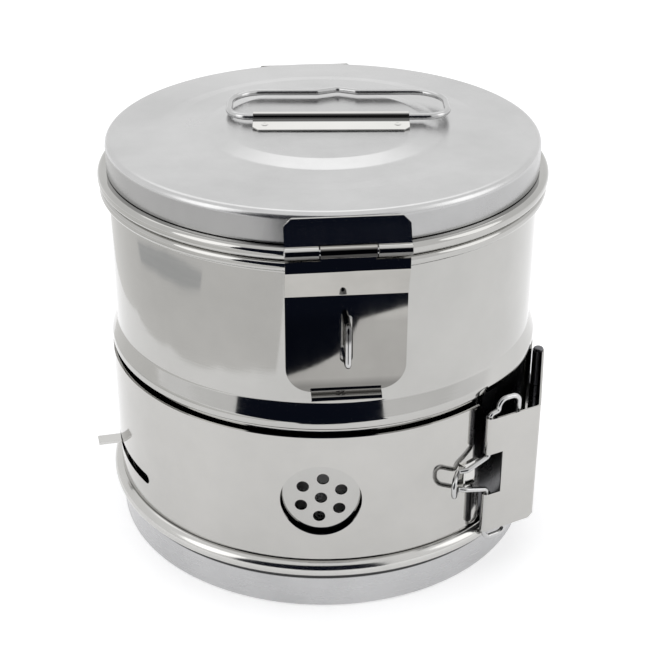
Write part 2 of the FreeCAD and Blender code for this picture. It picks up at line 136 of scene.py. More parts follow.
# Clamp of the band: its plate, and the spring wire that runs round it
clamp_top = 66.6
clamp_bottom = 20.2
notch_drop = 14.2
notch_height = 16.6
notch_top = clamp_top - notch_drop
notch_bottom = notch_top - notch_height
notch_mid = 0.5 * (notch_top + notch_bottom)
edge_azimuth = 38.3
edge_out = 4.2
corner_azimuth = 50.0
corner_out = 12.3
clamp_hinge_azimuth = 76.2
clamp_hinge_r = 80.6
clamp_knuckle_reach = 3.2
hook_wire = 1.8
catch_sheet = 0.8
catch_lip = 0.7
lip_gap = 0.45
lip_azimuth = 32.275
leg_gap = 0.15
leg_spread = 3.55
loop_azimuth = 30.3
loop_length = 7.5
loop_lean = 39.0
loop_lift = 0.8
loop_bend = 3.0
tail_bend = 3.1
tail_length = 6.0
tail_out = 0.8
top_tail = 11.6
top_tail_rise = 6.0
top_tail_start = 3.2
bottom_tail = 9.0
bottom_tail_drop = 3.9

# Hinge line that the lid's two leaves share
hinge_z = 138.6
hinge_out = 81.33
knuckle_r = 1.95
knuckle_edge = 0.15
knuckle_gap = 0.35
leaf_sheet = 0.8
leaf_half = 19.6
leaf_inside = 9.05
leaf_rise = 9.4
leaf_chamfer = 2.6
leaf_bend = 6.0
leaf_bend_rise = 7.6
leaf_foot_in = 1.3
leaf_foot_rise = 1.0


def polar(radius, azimuth, z=0.0):
    angle = math.radians(azimuth)
    return V((radius * math.sin(angle), -radius * math.cos(angle), z))


def fillet(points, step=6.0, support=0.25):
    """A polyline through (point, bend radius) pairs, with arcs of short steps at the bends."""
    line = [points[0][0].copy()]
    for (before, _), (corner, radius), (after, _) in zip(points, points[1:], points[2:]):
        to_before = (before - corner).normalized()
        to_after = (after - corner).normalized()
        angle = to_before.angle(to_after)
        if radius <= 0 or angle > 3.1:
            line.append(corner.copy())
            continue
        half = 0.5 * angle
        setback = radius / math.tan(half)
        centre = corner + (to_before + to_after).normalized() * (radius / math.sin(half))
        start = corner + to_before * setback
        end = corner + to_after * setback
        first = start - centre
        last = end - centre
        sweep = first.angle(last)
        count = max(3, int(math.degrees(sweep) / step) + 1)
        axis = first.cross(last).normalized()
        for k in range(count + 1):
            turn = Matrix.Rotation(sweep * k / count, 3, axis)
            line.append(centre + turn @ first)
    line.append(points[-1][0].copy())
    return with_supports(line, support)


def with_supports(line, support):
    """Adds points close to the ends of each long straight run, which keep its shading flat."""
    out = [line[0]]
    for a, b in zip(line, line[1:]):
        length = (b - a).length
        if length < 1e-6:
            continue
        if length > 4 * support:
            out.append(a + (b - a) * (support / length))
            out.append(b - (b - a) * (support / length))
        out.append(b)
    return out


def sheet_outline(triples, thickness):
    """The section of a bent sheet in the (radius, height) plane: its outer path and its inner path."""
    path = fillet([(V((r, z, 0)), bend) for r, z, bend in triples])
    inner = []
    for k, p in enumerate(path):
        before = path[max(0, k - 1)]
        after = path[min(len(path) - 1, k + 1)]
        ahead = (after - before).normalized()
        inner.append(p + V((-ahead.y, ahead.x, 0)) * thickness)
    return [(p.x, p.y) for p in path], [(max(p.x, 0.0), p.y) for p in inner]


def new_object(name, verts, faces):
    mesh = bpy.data.meshes.new(name)
    mesh.from_pydata([tuple(v) for v in verts], [], faces)
    obj = bpy.data.objects.new(name, mesh)
    bpy.context.scene.collection.objects.link(obj)
    return obj


def clean(obj, sharp=38.0, merge=1e-6):
    """Merges doubles, points the normals out, shades smooth and keeps real corners sharp."""
    bm = bmesh.new()
    bm.from_mesh(obj.data)
    bmesh.ops.remove_doubles(bm, verts=bm.verts, dist=merge)
    bmesh.ops.dissolve_degenerate(bm, edges=bm.edges, dist=1e-7)
    bmesh.ops.recalc_face_normals(bm, faces=bm.faces)
    limit = math.radians(sharp)
    for face in bm.faces:
        face.smooth = True
    for edge in bm.edges:
        if len(edge.link_faces) == 2:
            edge.smooth = edge.calc_face_angle(0.0) < limit
    bm.to_mesh(obj.data)
    bm.free()
    return obj


def lathe(name, outer, inner, segments=240, start=0.0, end=360.0):
    """Spins a sheet's outline about the drum's axis, all the way round or over an arc."""
    outline = outer + inner[::-1]
    full = abs(end - start - 360.0) < 1e-6
    columns = segments if full else segments + 1
    verts = []
    for k in range(columns):
        azimuth = start + (end - start) * k / segments
        for r, z in outline:
            verts.append(polar(r, azimuth, z) * MM)
    n = len(outline)
    faces = []
    for k in range(segments):
        a = k * n
        b = ((k + 1) % columns) * n
        for j in range(n):
            i = (j + 1) % n
            faces.append((a + j, b + j, b + i, a + i))
    if not full:
        faces.append(tuple(range(n)))
        last = (columns - 1) * n
        faces.append(tuple(last + j for j in range(n))[::-1])
    return clean(new_object(name, verts, faces))


def cylinder_tool(start, direction, radius, length, sides=64):
    """A closed cylinder that a boolean cuts with. All sizes in millimetres."""
    direction = direction.normalized()
    side = direction.orthogonal().normalized()
    up = direction.cross(side)
    verts = []
    for along in (0.0, length):
        for k in range(sides):
            angle = 2 * math.pi * k / sides
            offset = side * math.cos(angle) * radius + up * math.sin(angle) * radius
            verts.append((start + direction * along + offset) * MM)
    faces = [tuple(range(sides))[::-1], tuple(range(sides, 2 * sides))]
    for k in range(sides):
        n = (k + 1) % sides
        faces.append((k, n, sides + n, sides + k))
    return new_object("tool", verts, faces)


def prism_tool(corners, direction, length):
    """A closed prism over a flat outline of corners, in millimetres."""
    n = len(corners)
    verts = [c * MM for c in corners] + [(c + direction.normalized() * length) * MM for c in corners]
    faces = [tuple(range(n))[::-1], tuple(range(n, 2 * n))]
    for k in range(n):
        j = (k + 1) % n
        faces.append((k, j, n + j, n + k))
    return clean(new_object("tool", verts, faces))


def cut(obj, tools):
    """Takes the tools out of an object, and then out of the scene."""
    for tool in tools:
        modifier = obj.modifiers.new("cut", "BOOLEAN")
        modifier.operation = "DIFFERENCE"
        modifier.solver = "EXACT"
        modifier.object = tool
    apply_modifiers(obj)
    for tool in tools:
        bpy.data.objects.remove(tool)


def apply_modifiers(obj):
    graph = bpy.context.evaluated_depsgraph_get()
    graph.update()
    mesh = bpy.data.meshes.new_from_object(obj.evaluated_get(graph))
    old = obj.data
    obj.modifiers.clear()
    obj.data = mesh
    mesh.name = obj.name
    bpy.data.meshes.remove(old)


def round_normals(obj, radii):
    """Gives cut cylinder walls their exact radial normals, so that the finish stays clean round the holes."""
    mesh = obj.data
    normals = [(0.0, 0.0, 0.0)] * len(mesh.loops)
    for poly in mesh.polygons:
        centre = poly.center
        out = V((centre.x, centre.y, 0)).normalized()
        facing = poly.normal.dot(out)
        if abs(facing) < 0.99:
            continue
        on_wall = True
        for index in poly.vertices:
            co = mesh.vertices[index].co
            r = math.hypot(co.x, co.y) / MM
            if min(abs(r - known) for known in radii) > 0.12:
                on_wall = False
        if not on_wall:
            continue
        for loop in poly.loop_indices:
            co = mesh.vertices[mesh.loops[loop].vertex_index].co
            radial = V((co.x, co.y, 0)).normalized() * (1 if facing > 0 else -1)
            normals[loop] = tuple(radial)
    mesh.normals_split_custom_set(normals)


def sweep_wire(name, points, diameter, sides=28, domed=True):
    """A round wire bent along (point, bend radius) pairs, with domed or flat ends."""
    line = fillet(points, support=0.3)
    spaced = [line[0]]
    for p in line[1:]:
        if (p - spaced[-1]).length > 1e-4:
            spaced.append(p)
    line = spaced
    radius = 0.5 * diameter
    tangent = (line[1] - line[0]).normalized()
    side = tangent.orthogonal().normalized()
    verts = []
    rows = []
    for k, p in enumerate(line):
        ahead = (line[min(k + 1, len(line) - 1)] - p).normalized() if k < len(line) - 1 else tangent
        behind = (p - line[k - 1]).normalized() if k else ahead
        now = (ahead + behind).normalized()
        turn = tangent.rotation_difference(now)
        side = (turn @ side).normalized()
        tangent = now
        up = tangent.cross(side)
        rows.append((p, tangent.copy(), side.copy(), up.copy(), radius))
    if domed:
        for first in (True, False):
            p, t, s, u, r = rows[0] if first else rows[-1]
            sign = -1 if first else 1
            caps = []
            for back, share in ((0.0, 0.82), (0.12 * radius, 0.95), (0.3 * radius, 1.0)):
                caps.append((p - t * sign * back, t, s, u, r * share))
            if first:
                rows = caps + rows[1:]
            else:
                rows = rows[:-1] + caps[::-1]
    for p, t, s, u, r in rows:
        for k in range(sides):
            angle = 2 * math.pi * k / sides
            verts.append((p + s * math.cos(angle) * r + u * math.sin(angle) * r) * MM)
    faces = [tuple(range(sides))[::-1]]
    for row in range(len(rows) - 1):
        for k in range(sides):
            n = (k + 1) % sides
            a = row * sides
            faces.append((a + k, a + n, a + sides + n, a + sides + k))
    last = (len(rows) - 1) * sides
    faces.append(tuple(range(last, last + sides)))
    return clean(new_object(name, verts, faces), sharp=50.0, merge=1e-7)


def dress(node, name, bevel, sharp=30.0):
    """A copy of a CAD node with its edges broken, as tumbled sheet has."""
    obj = bpy.data.objects.new(name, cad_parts[node].data.copy())
    bpy.context.scene.collection.objects.link(obj)
    obj.data.materials.clear()
    bm = bmesh.new()
    bm.from_mesh(obj.data)
    bmesh.ops.remove_doubles(bm, verts=bm.verts, dist=2e-6)
    bmesh.ops.dissolve_limit(bm, angle_limit=math.radians(0.6), verts=bm.verts, edges=bm.edges)
    bm.to_mesh(obj.data)
    bm.free()
    edge = obj.modifiers.new("edge", "BEVEL")
    edge.width = bevel * MM
    edge.segments = 2
    edge.limit_method = "ANGLE"
    edge.angle_limit = math.radians(sharp)
    edge.harden_normals = True
    even = obj.modifiers.new("even", "WEIGHTED_NORMAL")
    even.weight = 100
    even.keep_sharp = True
    clean(obj, sharp)
    apply_modifiers(obj)
    return obj


# Wall of the drum, with its beads and vents
wall_outer, wall_inner = sheet_outline([
    (foot_r, pan_corner, 0),
    (foot_r, seam_bottom, 0),
    (seam_r, seam_bottom, seam_bend),
    (seam_r, seam_top, seam_bend),
    (wall_r, seam_top, 0.3),
    (wall_r, mid_bottom, 0.8),
    (mid_r, mid_edge, 0.9),
    (mid_r, mid_crest, mid_bend),
    (wall_r, mid_top, mid_bend),
    (wall_r, bead_bottom, 1.2),
    (lobe_r, lobe_bottom, lobe_bend),
    (lobe_r, lobe_top, lobe_bend),
    (collar_r + 0.65, lobe_top, 0),
], drum_sheet)
drum_wall = lathe("drum_wall", wall_outer, wall_inner)
vents = (vent_azimuth, vent_azimuth + 180.0)
vent_spots = [(0.0, 0.0)]
for k in range(6):
    angle = math.radians(vent_phase + 60.0 * k)
    vent_spots.append((vent_circle_r * math.cos(angle), vent_circle_r * math.sin(angle)))
tools = []
for vent in vents:
    turn = Matrix.Rotation(math.radians(vent), 3, "Z")
    for across, up in vent_spots:
        start = turn @ V((across, -wall_r - 5.0, vent_height + up))
        tools.append(cylinder_tool(start, turn @ V((0, 1, 0)), vent_hole_r, 15.0, 40))
cut(drum_wall, tools)
clean(drum_wall)
round_normals(drum_wall, (wall_r, wall_r - drum_sheet))

# Collar and neck, with the hem of the rim inside
collar_outer, collar_inner = sheet_outline([
    (collar_r, collar_bottom, 0),
    (collar_r, collar_ledge, 0.6),
    (bead_r, collar_ledge, bead_bend),
    (bead_r, bead_top, bead_bend),
    (neck_r, bead_top, 0.8),
    (neck_r, rim_top, 0),
], drum_sheet)
collar = lathe("collar", collar_outer, collar_inner)
hem_outer_r = neck_r - hem_sheet - 0.02
hem_inner_r = neck_r - 2 * hem_sheet
hem = lathe(
    "rim_hem",
    [(hem_inner_r, rim_top - hem_depth), (hem_outer_r, rim_top - hem_depth), (hem_outer_r, rim_top)],
    [(hem_inner_r, rim_top - hem_depth), (hem_inner_r, rim_top - 0.5 * hem_depth), (hem_inner_r, rim_top)],
)

# Base pan, with the ring pressed into its floor
ring_a, ring_b, ring_c, ring_d = floor_ring_radii
pan_outer, pan_inner = sheet_outline([
    (0.0, 0.0, 0),
    (ring_a, 0.0, floor_ring_bend),
    (ring_b, floor_ring_rise, floor_ring_bend),
    (ring_c, floor_ring_rise, floor_ring_bend),
    (ring_d, 0.0, floor_ring_bend),
    (pan_r, 0.0, pan_corner),
    (pan_r, pan_top, 0),
], pan_sheet)
base = lathe("base_cup", pan_outer, pan_inner)

# Lid, from the skirt over the shelf to the plateau
lid_outer, lid_inner = sheet_outline([
    (skirt_r, skirt_bottom, 0),
    (skirt_r, lid_top, lid_corner),
    (shelf_edge_r, lid_top, lid_bend),
    (shelf_r, shelf_top, lid_bend),
    (plateau_foot_r, shelf_top, lid_bend),
    (plateau_r, plateau_top, plateau_bend),
    (0.0, plateau_top, 0),
], drum_sheet)
lid = lathe("lid_cap", lid_outer, lid_inner)

# Vent band, cut by its windows, the slot of the stop and its rounded corners
band_heights = (band_bottom, band_bottom + 0.2, band_top - 0.2, band_top)
band_outside = [(band_r, z) for z in band_heights]
band_inside = [(band_inner_r, z) for z in band_heights]
band = lathe("band_strip", band_outside, band_inside, 220, band_end_b, 360.0 + band_end_a)
tools = []
for vent in vents:
    tools.append(cylinder_tool(polar(60.0, vent, vent_height), polar(1.0, vent), window_r, 30.0, 96))
half_stop = math.degrees(0.5 * stop_width / band_r)
play = math.degrees(slot_play / band_r)
first = stop_azimuth - half_stop - play
last = stop_azimuth + half_stop + play + band_travel
low = stop_height - 0.5 * slot_height
steps = 12
slot_verts = []
for k in range(steps + 1):
    azimuth = first + (last - first) * k / steps
    for r, z in ((70.0, low), (90.0, low), (90.0, low + slot_height), (70.0, low + slot_height)):
        slot_verts.append(polar(r, azimuth, z) * MM)
slot_faces = [(0, 1, 2, 3), tuple(4 * steps + k for k in (3, 2, 1, 0))]
for k in range(steps):
    for j in range(4):
        a = 4 * k + j
        b = 4 * k + (j + 1) % 4
        slot_faces.append((a, a + 4, b + 4, b))
tools.append(clean(new_object("tool", slot_verts, slot_faces)))
for azimuth in (first, last):
    start = polar(72.0, azimuth, stop_height)
    tools.append(cylinder_tool(start, polar(1.0, azimuth), 0.5 * slot_height, 16.0, 40))
over = 0.3
for azimuth, side in ((band_end_a, -1), (band_end_b, 1)):
    turn = Matrix.Rotation(math.radians(azimuth), 3, "Z")
    for z, up in ((band_bottom, 1), (band_top, -1)):
        corners = [
            V((-side * over, 0, z - up * over)),
            V((side * (band_corner + over), 0, z - up * over)),
            V((-side * over, 0, z + up * (band_corner + over))),
        ]
        tools.append(prism_tool([turn @ c for c in corners], turn @ V((0, -1, 0)), 100.0))
cut(band, tools)
clean(band)
round_normals(band, (band_r, band_inner_r))

# Wires
handle_turn = Matrix.Rotation(math.radians(handle_azimuth), 3, "Z")


def on_handle(p):
    """From the bail's own place to its place on the lid."""
    return handle_turn @ (p + V((bracket_shift, bracket_back, plateau_top)))


def at_height(p, z):
    return V((p.x, p.y, z))


bail_points = []
for x, y, bend in (
    (-bail_grip, 0, 0),
    (bail_left, 0, bail_foot_bend),
    (bail_left, bail_reach, bail_corner_bend),
    (kink_left, bail_reach, kink_bend),
    (kink_middle, kink_reach, kink_bend),
    (kink_right, bail_reach, kink_bend),
    (bail_right, bail_reach, bail_corner_bend),
    (bail_right, 0, bail_foot_bend),
    (bail_grip, 0, 0),
):
    bail_points.append((on_handle(V((x, y, bail_lift))), bend))
bail = sweep_wire("bail_wire", bail_points, bail_wire)

staple = sweep_wire("staple_wire", [
    (V((0, staple_back, staple_top)), 0),
    (V((0, staple_front, staple_top)), staple_bend),
    (V((0, staple_front, staple_bottom)), staple_bend),
    (V((0, staple_back, staple_bottom)), 0),
], staple_wire, domed=False)

edge_at = polar(band_r + edge_out, edge_azimuth)
corner_at = polar(band_r + corner_out, corner_azimuth)
flap_along = (corner_at - edge_at).normalized()
flap_out = V((flap_along.y, -flap_along.x, 0))
over_lip = band_r + catch_sheet + catch_lip + lip_gap + 0.5 * hook_wire
behind_lip = band_r + leg_gap + 0.5 * hook_wire
loop_base = polar(behind_lip, loop_azimuth)
lean = math.radians(loop_lean)
away = polar(math.sin(lean), loop_azimuth) + polar(math.cos(lean), loop_azimuth - 90)
loop_end = loop_base + away * loop_length
hook_points = []
for side, plate_end, notch_end, width, rise, start in (
    (1, clamp_top, notch_top, top_tail, top_tail_rise, top_tail_start),
    (-1, clamp_bottom, notch_bottom, bottom_tail, bottom_tail_drop, 0.0),
):
    far = edge_at - flap_out * tail_out + flap_along * width
    near = edge_at - flap_out * tail_out * (start / width) + flap_along * start
    arch_z = plate_end + side * rise
    leg_z = notch_mid + side * leg_spread
    run = [
        (at_height(far, plate_end - side * tail_length), 0),
        (at_height(far, arch_z), tail_bend),
        (at_height(near, arch_z), tail_bend),
    ]
    if start:
        run.append((at_height(near, plate_end + side * 1.9), 1.0))
        run.append((at_height(edge_at, plate_end + side * 1.1), 1.0))
    run = run + [
        (at_height(edge_at, notch_end - side * 1.4), 1.3),
        (polar(over_lip, lip_azimuth, leg_z + side * 0.5), 2.0),
        (at_height(loop_base, leg_z), 1.2),
        (at_height(loop_end, leg_z + loop_lift), loop_bend),
    ]
    hook_points = hook_points + (run if side > 0 else run[::-1])
hook = sweep_wire("hook_wire", hook_points, hook_wire)


def lid_leaf(name, turn, sides=48):
    """A leaf of the lid's hinges, that leans out from the skirt to its two knuckles."""
    outer, inner = sheet_outline([
        (skirt_r, hinge_z + leaf_rise, 0),
        (skirt_r, hinge_z + leaf_bend_rise, leaf_bend),
        (hinge_out - leaf_foot_in, hinge_z + leaf_foot_rise, 0),
    ], leaf_sheet)
    outline = outer + inner[::-1]
    n = len(outline)
    verts = [V((x, -r, z)) * MM for x in (-leaf_half, leaf_half) for r, z in outline]
    faces = [tuple(range(n)), tuple(range(n, 2 * n))[::-1]]
    for j in range(n):
        i = (j + 1) % n
        faces.append((j, n + j, n + i, i))
    leaf = clean(new_object(name, verts, faces), sharp=32.0)
    start = V((-leaf_inside, -hinge_out, hinge_z))
    tools = [cylinder_tool(start, V((1, 0, 0)), knuckle_r + knuckle_gap, 2 * leaf_inside)]
    top = hinge_z + leaf_rise + 0.2
    for side in (-1, 1):
        tools.append(prism_tool([
            V((side * (leaf_half + 0.2), -60, top)),
            V((side * (leaf_half + 0.2), -60, top - leaf_chamfer - 0.2)),
            V((side * (leaf_half - leaf_chamfer), -60, top)),
        ], V((0, -1, 0)), 40.0))
    cut(leaf, tools)
    bm = bmesh.new()
    bm.from_mesh(leaf.data)
    for side in (-1, 1):
        rings = []
        for x, r in (
            (leaf_inside, knuckle_r - knuckle_edge),
            (leaf_inside + knuckle_edge, knuckle_r),
            (leaf_inside + 0.4, knuckle_r),
            (leaf_half - 0.4, knuckle_r),
            (leaf_half - knuckle_edge, knuckle_r),
            (leaf_half, knuckle_r - knuckle_edge),
        ):
            ring = []
            for k in range(sides):
                angle = 2 * math.pi * k / sides
                y = -hinge_out + r * math.cos(angle)
                z = hinge_z + r * math.sin(angle)
                ring.append(bm.verts.new(V((side * x, y, z)) * MM))
            rings.append(ring)
        for a, b in zip(rings, rings[1:]):
            for k in range(sides):
                j = (k + 1) % sides
                bm.faces.new((a[k], a[j], b[j], b[k]))
        bm.faces.new(rings[0])
        bm.faces.new(rings[-1])
    bmesh.ops.rotate(bm, verts=bm.verts, cent=(0, 0, 0), matrix=Matrix.Rotation(math.radians(turn), 3, "Z"))
    bm.to_mesh(leaf.data)
    bm.free()
    return clean(leaf, sharp=32.0, merge=1e-7)


front_leaf = lid_leaf("hasp_leaf", 0.0)
rear_leaf = lid_leaf("rear_leaf_upper", 180.0)

# Bent plates and pins, from their solids with broken edges
plates = {
    "handle_bracket": ("bail_bracket", 0.10),
    "hasp_plate": ("hasp_flap", 0.12),
    "hasp_pin": ("hasp_axle", 0.08),
    "rear_body_leaf": ("rear_leaf_lower", 0.12),
    "rear_hinge_pin": ("rear_axle", 0.08),
    "stop_tab": ("band_stop", 0.10),
    "band_hinge_leaf": ("clamp_leaf", 0.10),
    "lever_plate": ("clamp_lever", 0.10),
    "lever_pin": ("clamp_axle", 0.08),
    "catch_plate": ("clamp_catch", 0.10),
}
dressed = {node: dress(node, name, bevel) for node, (name, bevel) in plates.items()}


# Materials
def node_material(name):
    material = bpy.data.materials.new(name)
    material.use_nodes = True
    tree = material.node_tree
    tree.nodes.clear()
    out = tree.nodes.new("ShaderNodeOutputMaterial")
    shader = tree.nodes.new("ShaderNodeBsdfPrincipled")
    tree.links.new(shader.outputs["BSDF"], out.inputs["Surface"])
    return material, tree, shader


def noise(tree, coords, scale, detail, roughness, stretch=(1, 1, 1)):
    mapping = tree.nodes.new("ShaderNodeMapping")
    mapping.inputs["Scale"].default_value = stretch
    tree.links.new(coords, mapping.inputs["Vector"])
    node = tree.nodes.new("ShaderNodeTexNoise")
    node.inputs["Scale"].default_value = scale
    node.inputs["Detail"].default_value = detail
    node.inputs["Roughness"].default_value = roughness
    tree.links.new(mapping.outputs["Vector"], node.inputs["Vector"])
    return node.outputs["Fac"]


def spread(tree, value, low, high, start=0.3, end=0.7):
    """Maps a value's range from start to end onto low to high. Noise lies mostly between the defaults."""
    node = tree.nodes.new("ShaderNodeMapRange")
    node.inputs["From Min"].default_value = start
    node.inputs["From Max"].default_value = end
    node.inputs["To Min"].default_value = low
    node.inputs["To Max"].default_value = high
    tree.links.new(value, node.inputs["Value"])
    return node.outputs["Result"]


def tint(tree, value, dark, light):
    node = tree.nodes.new("ShaderNodeMix")
    node.data_type = "RGBA"
    node.inputs["A"].default_value = (*dark, 1.0)
    node.inputs["B"].default_value = (*light, 1.0)
    tree.links.new(value, node.inputs["Factor"])
    return node.outputs["Result"]


def bump(tree, height, distance, under=None):
    node = tree.nodes.new("ShaderNodeBump")
    node.inputs["Distance"].default_value = distance
    node.inputs["Strength"].default_value = 1.0
    tree.links.new(height, node.inputs["Height"])
    if under is not None:
        tree.links.new(under, node.inputs["Normal"])
    return node.outputs["Normal"]


def steel(name, dark, light, rough, waves, grain):
    """Stainless sheet: slow waves from rolling, a directional grain, and slight changes of tone and gloss.

    waves is (scale, depth in metres), grain is (stretch, scale, depth in metres).
    """
    material, tree, shader = node_material(name)
    coords = tree.nodes.new("ShaderNodeTexCoord").outputs["Object"]
    stretch, grain_scale, grain_depth = grain
    wave_scale, wave_depth = waves
    shader.inputs["Metallic"].default_value = 1.0
    tone = noise(tree, coords, 28.0, 4.0, 0.6)
    tree.links.new(tint(tree, spread(tree, tone, 0.0, 1.0), dark, light), shader.inputs["Base Color"])
    gloss = noise(tree, coords, 60.0, 5.0, 0.65, stretch)
    tree.links.new(spread(tree, gloss, rough[0], rough[1]), shader.inputs["Roughness"])
    rolling = bump(tree, noise(tree, coords, wave_scale, 1.0, 0.4), wave_depth)
    normal = bump(tree, noise(tree, coords, grain_scale, 3.0, 0.6, stretch), grain_depth, rolling)
    tree.links.new(normal, shader.inputs["Normal"])
    return material


def shade_by_height(material, steps):
    """Paints light and shade into a finish's tone by height: steps are (height, share) pairs, from the lowest
    up.
    """
    tree = material.node_tree
    shader = next(n for n in tree.nodes if n.type == "BSDF_PRINCIPLED")
    coords = next(n for n in tree.nodes if n.type == "TEX_COORD")
    source = shader.inputs["Base Color"].links[0].from_socket
    low = steps[0][0]
    high = steps[-1][0]
    split = tree.nodes.new("ShaderNodeSeparateXYZ")
    tree.links.new(coords.outputs["Object"], split.inputs["Vector"])
    along = spread(tree, split.outputs["Z"], 0.0, 1.0, low * MM, high * MM)
    ramp = tree.nodes.new("ShaderNodeValToRGB")
    for index, (height, share) in enumerate(steps):
        place_at = (height - low) / (high - low)
        stops = ramp.color_ramp.elements
        stop = stops[index] if index < 2 else stops.new(place_at)
        stop.position = place_at
        stop.color = (share, share, share, 1.0)
    tree.links.new(along, ramp.inputs["Fac"])
    scale = tree.nodes.new("ShaderNodeVectorMath")
    scale.operation = "MULTIPLY"
    tree.links.new(source, scale.inputs[0])
    tree.links.new(ramp.outputs["Color"], scale.inputs[1])
    tree.links.new(scale.outputs["Vector"], shader.inputs["Base Color"])


def radial_brushing(material, amount):
    """Stretches the highlights of a turned finish across its rings."""
    tree = material.node_tree
    shader = next(n for n in tree.nodes if n.type == "BSDF_PRINCIPLED")
    tangent = tree.nodes.new("ShaderNodeTangent")
    tangent.direction_type = "RADIAL"
    tangent.axis = "Z"
    tree.links.new(tangent.outputs["Tangent"], shader.inputs["Tangent"])
    shader.inputs["Anisotropic"].default_value = amount


no_stretch = (1, 1, 1)
round_grain = (1.0, 1.0, 14.0)
plate_grain = ((6.0, 1.0, 1.0), 150.0, 0.000001)
fine_grain = (round_grain, 120.0, 0.000002)
wire_waves = (60.0, 0.00003)
wire_grain = (no_stretch, 500.0, 0.000002)
raw_grain = (no_stretch, 500.0, 0.000004)

# Walls, lid and base
mirror = steel("polished_steel", (0.413, 0.41, 0.397), (0.461, 0.457, 0.443),
               (0.05, 0.10), (30.0, 0.00010), fine_grain)
band_finish = steel("band_steel", (0.44, 0.435, 0.42), (0.49, 0.483, 0.467),
                    (0.06, 0.11), (26.0, 0.00010), fine_grain)
# Painted highlight: the seam bead gets a brighter, rougher copy of the wall steel
bead_highlight = steel("bead_highlight_steel", (0.50, 0.495, 0.48), (0.57, 0.565, 0.55),
                    (0.13, 0.18), (30.0, 0.00008), fine_grain)
# Painted shade: the inside of the wall is a darker copy of the steel
inner_shade = steel("inner_shade_steel", (0.26, 0.26, 0.26), (0.32, 0.32, 0.32),
                     (0.20, 0.30), (30.0, 0.00006), (round_grain, 300.0, 0.000002))
satin_and_skirt_shade = steel("satin_steel_skirt_shade", (0.52, 0.52, 0.52), (0.60, 0.60, 0.60),
              (0.20, 0.28), (24.0, 0.00006), (no_stretch, 900.0, 0.000001))
radial_brushing(satin_and_skirt_shade, 0.6)
base_and_edge_shade = steel("base_steel_edge_shade", (0.46, 0.46, 0.465), (0.54, 0.54, 0.545),
                    (0.24, 0.34), (24.0, 0.00012), (round_grain, 300.0, 0.000004))

# Plates and wires
plate_finish = steel("plate_steel", (0.56, 0.555, 0.54), (0.62, 0.615, 0.60),
                     (0.03, 0.05), (34.0, 0.000025), plate_grain)
bracket_and_painted_band = steel("bracket_steel_painted_band", (0.54, 0.535, 0.52), (0.58, 0.575, 0.56),
                       (0.03, 0.06), (34.0, 0.000025), plate_grain)
# Painted shade: the hasp's steel is a darker copy of the plate steel
hasp_and_painted_bands = steel("hasp_steel_painted_bands", (0.40, 0.39, 0.37), (0.49, 0.48, 0.455),
                    (0.03, 0.05), (34.0, 0.00003), plate_grain)
leaf_and_knuckle_shade = steel("leaf_steel_knuckle_shade", (0.52, 0.515, 0.50), (0.58, 0.575, 0.56),
                    (0.08, 0.12), (34.0, 0.000025), plate_grain)
wire_finish = steel("wire_steel", (0.46, 0.46, 0.46), (0.54, 0.54, 0.54),
                    (0.14, 0.22), wire_waves, wire_grain)
staple_and_painted_shade = steel("staple_steel_painted_shade", (0.46, 0.46, 0.46), (0.54, 0.54, 0.54),
                      (0.10, 0.16), wire_waves, wire_grain)

# Painted shade: dark steel on the clamp's knuckles, its inner faces and its pin, on the wall in the clamp's
# shade, and in the gap under the seam bead
clamp_shade = steel("clamp_shade_steel", (0.10, 0.10, 0.11), (0.17, 0.17, 0.18), (0.24, 0.36), wire_waves, raw_grain)
shadowed = steel("shadowed_steel", (0.05, 0.05, 0.055), (0.09, 0.09, 0.095),
                 (0.22, 0.32), wire_waves, (no_stretch, 500.0, 0.000003))
# Painted shade in the gap under the seam bead
crevice_shade = steel("crevice_shade_steel", (0.02, 0.02, 0.02), (0.04, 0.04, 0.04), (0.4, 0.5), wire_waves, raw_grain)

# Painted shade and painted reflections by height: shade on the lid's skirt and on the pan's top edge, and
# dark reflected bands on bent plates, knuckles and the staple
roll_top = plateau_top + 3.7
# Painted shade: the lid's skirt is darker below the rim
shade_by_height(satin_and_skirt_shade, [(lid_top - 2.6, 0.72), (lid_top - 1.4, 1.0)])
# Painted shade: a dark line along the pan's top edge, under the seam bead
shade_by_height(base_and_edge_shade, [(pan_top - 1.2, 1.0), (pan_top - 0.8, 0.08)])
# Painted reflection: a dark band across the bracket's roll and the top of its flange
shade_by_height(bracket_and_painted_band, [
    (plateau_top + 1.62, 0.94), (plateau_top + 1.76, 0.10), (roll_top - 0.45, 0.10), (roll_top - 0.22, 1.0),
])
# Painted shade and reflections on the hasp: a dark band over the finger lip, a darker lower plate, and its
# knuckle nearly black
shade_by_height(hasp_and_painted_bands, [
    (85.4, 1.0), (86.6, 0.45), (89.6, 0.45), (92.2, 0.70), (112.0, 0.70), (118.0, 0.97),
    (hinge_z - 2.6, 0.97), (hinge_z - 2.0, 0.12), (hinge_z + 1.35, 0.12), (hinge_z + 1.7, 0.95),
])
# Painted shade on the leaves' knuckles, all but their top
shade_by_height(leaf_and_knuckle_shade, [
    (hinge_z - 1.9, 0.5), (hinge_z - 1.0, 0.3), (hinge_z + 0.9, 0.35), (hinge_z + 1.5, 0.95),
])
# Painted shade: the staple's upper part is dark
shade_by_height(staple_and_painted_shade, [(107.6, 1.0), (109.2, 0.25)])


def place(obj, body, slot, material, *nodes):
    """Gives a piece its finish, its body, and the solids that it stands for. Its slot is not used."""
    obj.data.materials.clear()
    obj.data.materials.append(material)
    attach(obj, body)
    if nodes:
        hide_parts(*nodes)


